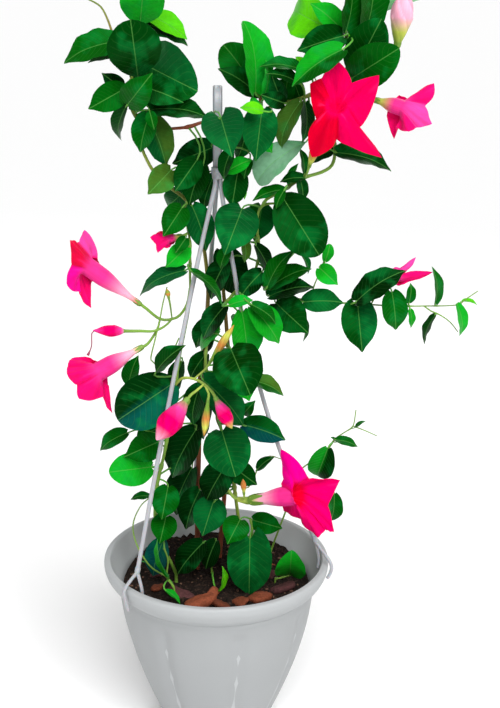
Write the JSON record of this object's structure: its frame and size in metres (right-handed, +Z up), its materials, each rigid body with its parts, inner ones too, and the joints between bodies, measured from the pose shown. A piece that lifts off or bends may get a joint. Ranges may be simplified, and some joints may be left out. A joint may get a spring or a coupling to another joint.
{
  "type": "potted climbing plant",
  "caption": "Climbing plant with paired glossy leaves and trumpet flowers in a round plastic pot, with a clip-on hanger that ends in a flat hook.",
  "frame": {"origin": "the middle of the pot's flat base", "axes": "+Z up through the pot, -Y towards the viewer of the picture, +X to the viewer's right"},
  "size_m": [0.4252, 0.2511, 0.8268],
  "materials": {
    "pot_plastic": "satin pale grey, moulded in shallow upright panels",
    "potting_mix": "rough dark bark mix with clay and bark chips",
    "hanger_plastic": "milky white, slightly see-through",
    "foliage": "glossy deep green leaves with a sunken midrib, on thin stems",
    "green_stalk": "smooth fresh green",
    "petals": "velvety hot pink, paler down the tube",
    "pale_petals": "velvety pale pink, yellow-green at the foot",
    "green_bud": "smooth, green at the foot and orange towards the tip"
  },
  "bodies": {
    "root": {"bloom_low_right": "petals", "bloom_lower_left": "petals", "bloom_top_front": "petals", "bloom_top_side": "petals", "bloom_upper_left": "petals", "bud_beside_top_bloom": "petals", "bud_hanging_green": "green_bud", "bud_hanging_large": "petals", "bud_hanging_pink": "petals", "bud_left_slender": "petals", "bud_left_small": "petals", "bud_low_small": "green_bud", "bud_top_pale": "pale_petals", "bud_upright": "green_bud", "crown_left_vine": "foliage", "crown_right_vine": "foliage", "front_shoot": "foliage", "half_open_left": "petals", "half_open_right": "petals", "hanger_arm_back": "hanger_plastic", "hanger_arm_front_left": "hanger_plastic", "hanger_arm_right": "hanger_plastic", "hanger_hook": "hanger_plastic", "hanging_bud_stalk": "green_stalk", "heart_leaf_shoot": "foliage", "left_bloom_stalk": "green_stalk", "left_foot_shoot": "foliage", "left_vine": "foliage", "low_bloom_stalk": "green_stalk", "low_right_shoot": "foliage", "middle_foot_shoot": "foliage", "pot": "pot_plastic", "potting_mix": "potting_mix", "right_shoot": "foliage", "right_vine": "foliage", "runner_behind_hook": "foliage", "top_bloom_stalk": "green_stalk"}
  },
  "joints": []
}
